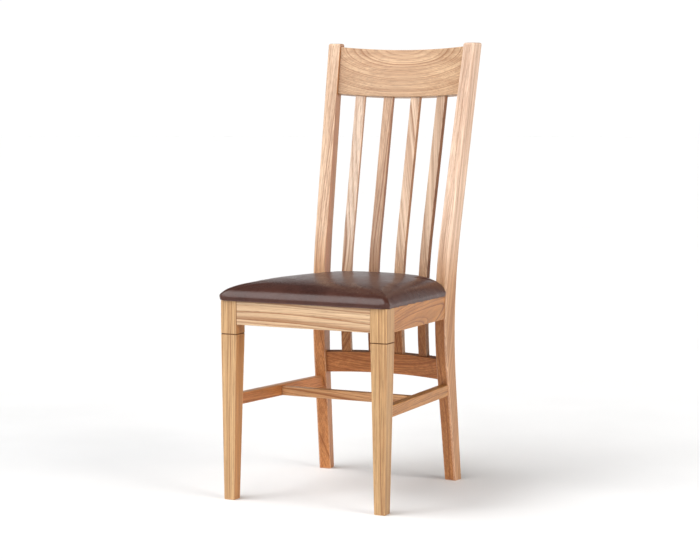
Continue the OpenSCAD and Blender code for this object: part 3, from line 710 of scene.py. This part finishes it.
def padPleats(piece):
    # Small folds where the leather turns round the front corners
    points = meshPoints(piece.data)
    normals = np.empty(len(points) * 3)
    piece.data.vertices.foreach_get("normal", normals)
    normals = normals.reshape(-1, 3)
    inset = seatPad["pleatTip"]
    tip = np.array((padHalf(seatPad["front"]) - inset, seatPad["front"] + inset)) * mm
    for side in (-1, 1):
        away = (points[:, :2] * (side, 1) - tip) * (-1, 1)
        reach = np.hypot(*away.T)
        heading = np.degrees(np.arctan2(away[:, 1], away[:, 0])) - seatPad["pleatHeading"]
        for turn, depth, width in seatPad["pleats"]:
            across = reach * np.sin(np.radians(heading - turn)) / (width * mm)
            ahead = np.clip(1 - reach / (seatPad["pleatReach"] * mm), 0, 1)
            shape = np.exp(-across ** 2) - 0.55 * np.exp(-(across / 2) ** 2)
            fold = -depth * mm * ahead * shape
            fold *= np.clip(points[:, 2] / (seatPad["pleatFoot"] * mm), 0, 1)
            points += normals * fold[:, None]
    setPoints(piece.data, points)


def cutWindow(piece):
    # Opens the pad's underside inside the turned-under hem
    makeActive(piece)
    mesh = piece.data
    hem = seatPad["hem"]
    for polygon in mesh.polygons:
        x, y, z = (c / mm for c in polygon.center)
        inside = (seatPad["front"] + hem < y < seatPad["rear"] - hem
                  and abs(x) < padHalf(y) - hem)
        polygon.select = z < 0.5 and polygon.normal.z < -0.9 and inside
    bpy.ops.object.mode_set(mode="EDIT")
    bpy.context.tool_settings.mesh_select_mode = (False, False, True)
    bpy.ops.mesh.delete(type="FACE")
    bpy.ops.object.mode_set(mode="OBJECT")


def setInPlace(piece):
    # Moves a piece from the seat's frame into the chair's
    piece.data.transform(seatPlace)
    piece.data.update()


leather = {"dark": (0.040, 0.0150, 0.0112), "light": (0.090, 0.0335, 0.0238),
           "rubbed": (0.118, 0.050, 0.036), "roughness": 0.165, "specular": 0.23}


def leatherMaterial():
    made, tree = newMaterial("brownLeather")
    place = addNode(tree, "ShaderNodeTexCoord").outputs["Object"]
    warp = noise(tree, place, (260, 260, 260), 2.0)["Color"]
    loose = addNode(tree, "ShaderNodeVectorMath", {0: scaled(tree, warp, (0.0016,) * 3), 1: place},
                    operation="ADD").outputs[0]
    pebble = addNode(tree, "ShaderNodeTexVoronoi", {"Vector": loose, "Scale": 620.0},
                     feature="DISTANCE_TO_EDGE").outputs["Distance"]
    crease = ramp(tree, pebble, [(0.0, 0.0), (0.16, 0.8), (0.5, 1.0)])
    fine = noise(tree, place, (1500, 1500, 1500), 2.0)[0]
    cloud = noise(tree, place, (11, 11, 11), 3.0)[0]
    rub = noise(tree, place, (45, 45, 45), 3.0, 0.6)[0]
    color = mixed(tree, ramp(tree, cloud, [(0.28, 0.1), (0.75, 1.0)]),
                  leather["dark"], leather["light"])
    color = mixed(tree, ramp(tree, crease, [(0.0, 0.5), (0.7, 0.0)]), color, leather["dark"])
    color = mixed(tree, ramp(tree, rub, [(0.56, 0.0), (0.80, 0.30)]), color, leather["rubbed"])
    polish = sums(tree, "SUBTRACT", sums(tree, "MULTIPLY", cloud, 0.16),
                  sums(tree, "MULTIPLY", crease, 0.05))
    roughness = sums(tree, "ADD", sums(tree, "MULTIPLY", rub, 0.16),
                     sums(tree, "ADD", polish, leather["roughness"]))
    soft = noise(tree, place, (28, 28, 28), 2.0)[0]
    normal = bumped(tree, soft, 1.2 * mm, 0.35)
    normal = bumped(tree, sums(tree, "ADD", crease, sums(tree, "MULTIPLY", fine, 0.35)),
                    0.10 * mm, 0.22, normal)
    finishMaterial(tree, color, roughness, normal, **{"Specular IOR Level": leather["specular"]})
    return made


foamLook = {"pale": (0.78, 0.70, 0.42), "light": (0.86, 0.80, 0.56), "cells": (0.55, 0.47, 0.25)}


def foamMaterial():
    made, tree = newMaterial("seatFoam")
    place = addNode(tree, "ShaderNodeTexCoord").outputs["Object"]
    cells = addNode(tree, "ShaderNodeTexVoronoi",
                    {"Vector": place, "Scale": 900.0}).outputs["Distance"]
    cloud = noise(tree, place, (14, 14, 14), 2.0)[0]
    color = mixed(tree, cloud, foamLook["pale"], foamLook["light"])
    color = mixed(tree, ramp(tree, cells, [(0.0, 0.5), (0.5, 0.0)]), color, foamLook["cells"])
    finishMaterial(tree, color, sums(tree, "ADD", sums(tree, "MULTIPLY", cells, 0.1), 0.85),
                   bumped(tree, cells, 0.5 * mm, 0.8))
    return made


pad = addPadForm()
print("pad swollen:", len(pad.data.vertices), "points")

foam = bpy.data.objects.new("seatFoam", pad.data.copy())
scene.collection.objects.link(foam)
inner = np.empty(len(foam.data.vertices) * 3)
foam.data.vertices.foreach_get("normal", inner)
setPoints(foam.data, meshPoints(foam.data)
          - inner.reshape(-1, 3) * (seatPad["cover"] + seatPad["foamGap"]) * mm)
makeActive(foam)
bpy.ops.object.mode_set(mode="EDIT")
bpy.ops.mesh.select_all(action="SELECT")
boardTop = (seatPad["cover"] + seatPad["board"] + seatPad["boardGap"]) * mm
bpy.ops.mesh.bisect(plane_co=(0, 0, boardTop), plane_no=(0, 0, 1), clear_inner=True, use_fill=True)
bpy.ops.object.mode_set(mode="OBJECT")
setInPlace(foam)
smoothShade(foam)
placePiece(foam, ["seat_foam"], foamMaterial())

finer = pad.modifiers.new("finer", "SUBSURF")
finer.levels = finer.render_levels = 1
makeActive(pad)
bpy.ops.object.modifier_apply(modifier="finer")
padPleats(pad)
cutWindow(pad)
skin = pad.modifiers.new("skin", "SOLIDIFY")
skin.thickness = seatPad["cover"] * mm
skin.offset = -1
bpy.ops.object.modifier_apply(modifier="skin")
setInPlace(pad)
smoothShade(pad)
placePiece(pad, ["seat_cover"], leatherMaterial())
print("seat pad done")


# Board, fasteners and dust cover
plywood = {"face": (0.62, 0.47, 0.29), "core": (0.42, 0.28, 0.155), "streak": (0.40, 0.26, 0.14),
           "ply": 3.0}  # mm, for two plies


def plywoodMaterial():
    made, tree = newMaterial("birchPly")
    place = addNode(tree, "ShaderNodeTexCoord").outputs["Object"]
    level = addNode(tree, "ShaderNodeMapping", {
        "Vector": place, "Location": seatPlace.translation,
        "Rotation": (-math.radians(seatPad["fall"]), 0, 0)}, vector_type="TEXTURE").outputs[0]
    height = addNode(tree, "ShaderNodeSeparateXYZ", {0: level}).outputs["Z"]
    plies = ramp(tree, sums(tree, "FRACT", sums(tree, "DIVIDE", height, plywood["ply"] * mm)),
                 [(0.0, 0.0), (0.46, 0.0), (0.54, 1.0), (1.0, 1.0)])
    fibre = noise(tree, level, (9, 520, 520), 3.0, 0.6)[0]
    figure = noise(tree, level, (2.5, 60, 60), 2.0)[0]
    color = mixed(tree, plies, plywood["face"], plywood["core"])
    color = mixed(tree, ramp(tree, figure, [(0.4, 0.0), (0.7, 0.4)]), color, plywood["streak"])
    color = mixed(tree, 1.0, color, ramp(tree, fibre, [(0.25, 0.78), (0.75, 1.08)]), "MULTIPLY")
    finishMaterial(tree, color, sums(tree, "ADD", sums(tree, "MULTIPLY", fibre, 0.2), 0.6),
                   bumped(tree, fibre, 0.15 * mm, 0.7))
    return made


zinc = {"dull": (0.50, 0.50, 0.52), "bright": (0.68, 0.68, 0.69), "roughness": 0.22}


def steelMaterial():
    made, tree = newMaterial("zincSteel")
    place = addNode(tree, "ShaderNodeTexCoord").outputs["Object"]
    spangle = addNode(tree, "ShaderNodeTexVoronoi",
                      {"Vector": place, "Scale": 900.0}).outputs["Color"]
    wear = noise(tree, place, (700, 700, 700), 3.0)[0]
    color = mixed(tree, wear, zinc["dull"], zinc["bright"])
    color = mixed(tree, 0.12, color, spangle, "MULTIPLY")
    roughness = sums(tree, "ADD", sums(tree, "MULTIPLY", wear, 0.25), zinc["roughness"])
    finishMaterial(tree, color, roughness, bumped(tree, wear, 0.03 * mm, 0.6), Metallic=1.0)
    return made


blackCloth = {"dark": (0.012, 0.012, 0.014), "light": (0.050, 0.050, 0.054),
              "bonds": (0.008, 0.008, 0.009)}


def clothMaterial():
    made, tree = newMaterial("blackCloth")
    place = addNode(tree, "ShaderNodeTexCoord").outputs["Object"]
    long = noise(tree, place, (2600, 320, 900), 2.0)[0]
    across = noise(tree, place, (320, 2600, 900), 2.0)[0]
    dots = addNode(tree, "ShaderNodeTexVoronoi",
                   {"Vector": place, "Scale": 480.0}).outputs["Distance"]
    strands = sums(tree, "MAXIMUM", long, across)
    color = mixed(tree, ramp(tree, strands, [(0.45, 0.0), (0.75, 1.0)]),
                  blackCloth["dark"], blackCloth["light"])
    color = mixed(tree, ramp(tree, dots, [(0.12, 0.5), (0.3, 0.0)]), color, blackCloth["bonds"])
    normal = bumped(tree, sums(tree, "ADD", strands, dots), 0.15 * mm, 0.7)
    roughness = sums(tree, "ADD", sums(tree, "MULTIPLY", strands, 0.1), 0.82)
    finishMaterial(tree, color, roughness, normal, **{"Sheen Weight": 0.15})
    return made


def dressNode(node, material):
    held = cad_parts[node]
    held.data.materials.clear()
    held.data.materials.append(material)


steel = steelMaterial()
for node in ("corner_block_screws", "seat_screws", "cover_staples", "dust_cover_staples"):
    dressNode(node, steel)
dressNode("seat_board", plywoodMaterial())

# The dust cover, stapled under the pad, hangs a little between its staples
dustCover = {"front": 27.0, "rear": 385.0, "half": 182.7, "taper": 0.0951,  # mm, its plan
             "leg": (162.5, 44.0), "post": (144.0, 383.0), "cells": 64, "sag": 2.6, "thick": 0.5,
             "ripple": 0.25, "waves": (17, 23),
             "flat": (0.3603, 0.3580), "area": 0.1163}


def bisectSelected(place, normal, clearOuter=False):
    bpy.ops.mesh.select_all(action="SELECT")
    bpy.ops.mesh.bisect(plane_co=[c * mm for c in place], plane_no=normal, clear_outer=clearOuter)


def addDustCover():
    front, rear, half = dustCover["front"], dustCover["rear"], dustCover["half"]
    deselect()
    cells = dustCover["cells"]
    bpy.ops.mesh.primitive_grid_add(x_subdivisions=cells, y_subdivisions=cells, size=1)
    piece = bpy.context.active_object
    piece.name = "dustCover"
    bpy.ops.object.mode_set(mode="EDIT")
    bpy.ops.mesh.select_all(action="SELECT")
    bpy.ops.transform.resize(value=(2 * half * mm, (rear - front) * mm, 1))
    bpy.ops.transform.translate(value=(0, (rear + front) / 2 * mm, 0))
    for side in (-1, 1):
        bisectSelected((side * half, 0, 0), (side, dustCover["taper"], 0), True)
        bisectSelected((side * dustCover["leg"][0], 0, 0), (side, 0, 0))
        bisectSelected((side * dustCover["post"][0], 0, 0), (side, 0, 0))
    bisectSelected((0, dustCover["leg"][1], 0), (0, 1, 0))
    bisectSelected((0, dustCover["post"][1], 0), (0, 1, 0))
    bpy.ops.object.mode_set(mode="OBJECT")
    mesh = piece.data
    for polygon in mesh.polygons:
        x, y, z = polygon.center / mm
        polygon.select = (abs(x) > dustCover["leg"][0] and y < dustCover["leg"][1]
                          or abs(x) > dustCover["post"][0] and y > dustCover["post"][1])
    bpy.ops.object.mode_set(mode="EDIT")
    bpy.context.tool_settings.mesh_select_mode = (False, False, True)
    bpy.ops.mesh.delete(type="FACE")
    bpy.ops.object.mode_set(mode="OBJECT")
    points = meshPoints(mesh)
    along = (points[:, 1] / mm - front) / (rear - front)
    across = 0.5 + points[:, 0] / mm / (2 * (half - dustCover["taper"] * points[:, 1] / mm))
    hang = np.clip(16 * along * (1 - along) * across * (1 - across), 0, 1)
    wide, long = dustCover["waves"]
    ripple = (dustCover["ripple"] * np.sin(points[:, 0] / mm / wide)
              * np.sin(points[:, 1] / mm / long + 1))
    points[:, 2] = -(hang * (dustCover["sag"] + ripple)) * mm
    setPoints(mesh, points)
    skin = piece.modifiers.new("skin", "SOLIDIFY")
    skin.thickness = dustCover["thick"] * mm
    skin.offset = -1
    bpy.ops.object.modifier_apply(modifier="skin")
    setInPlace(piece)
    smoothShade(piece)
    placePiece(piece, ["dust_cover"], clothMaterial())


addDustCover()
print("underside done")


# Floor and light
paleFloor = {"radius": 30, "sides": 96, "dark": (0.92, 0.915, 0.91), "light": (0.95, 0.945, 0.94)}


def addFloor():
    deselect()
    bpy.ops.mesh.primitive_circle_add(vertices=paleFloor["sides"], radius=paleFloor["radius"],
                                      fill_type="NGON")
    floor = bpy.context.active_object
    floor.name = "floor"
    made, tree = newMaterial("paleFloor")
    place = addNode(tree, "ShaderNodeTexCoord").outputs["Object"]
    speck = noise(tree, place, (3, 3, 3), 3.0)[0]
    finishMaterial(tree, mixed(tree, ramp(tree, speck, [(0.3, 0.0), (0.7, 1.0)]),
                               paleFloor["dark"], paleFloor["light"]),
                   sums(tree, "ADD", sums(tree, "MULTIPLY", speck, 0.1), 0.6),
                   bumped(tree, speck, 0.05 * mm, 0.2))
    floor.data.materials.append(made)


lights = {
    "sky": {"horizon": 1.02, "zenith": 0.10, "low": 0.14, "high": 0.30},  # brightness by height
    "suns": [
        {"name": "key", "from": (-0.25, -1.0, 0.85), "power": 2.3, "soft": 55,
         "color": (0.96, 0.98, 1)},
        {"name": "side", "from": (1.0, -0.20, 0.42), "power": 1.85, "soft": 36,
         "color": (1, 0.97, 0.93)},
        {"name": "top", "from": (-0.45, -0.26, 0.86), "power": 1.35, "soft": 30,
         "color": (1, 1, 1)},
    ],
}


def addLights():
    sky = bpy.data.worlds.new("studio")
    scene.world = sky
    sky.use_nodes = True
    tree = sky.node_tree
    heading = addNode(tree, "ShaderNodeTexCoord").outputs["Generated"]
    height = addNode(tree, "ShaderNodeSeparateXYZ", {0: heading}).outputs["Z"]
    level = lights["sky"]
    fade = addNode(tree, "ShaderNodeMapRange", {
        "Value": height, "From Min": level["low"], "From Max": level["high"],
        "To Min": level["horizon"], "To Max": level["zenith"]},
        interpolation_type="SMOOTHSTEP").outputs[0]
    backdrop = tree.nodes["Background"].inputs
    tree.links.new(fade, backdrop["Strength"])
    backdrop["Color"].default_value = (1, 1, 1, 1)
    for sun in lights["suns"]:
        data = bpy.data.lights.new(sun["name"], "SUN")
        data.energy = sun["power"]
        data.angle = math.radians(sun["soft"])
        data.color = sun["color"]
        lamp = bpy.data.objects.new(sun["name"], data)
        lamp.location = Vector(sun["from"]) * 3
        lamp.rotation_euler = (-Vector(sun["from"])).to_track_quat("-Z", "Y").to_euler()
        scene.collection.objects.link(lamp)


addFloor()
addLights()
print("floor and light done")
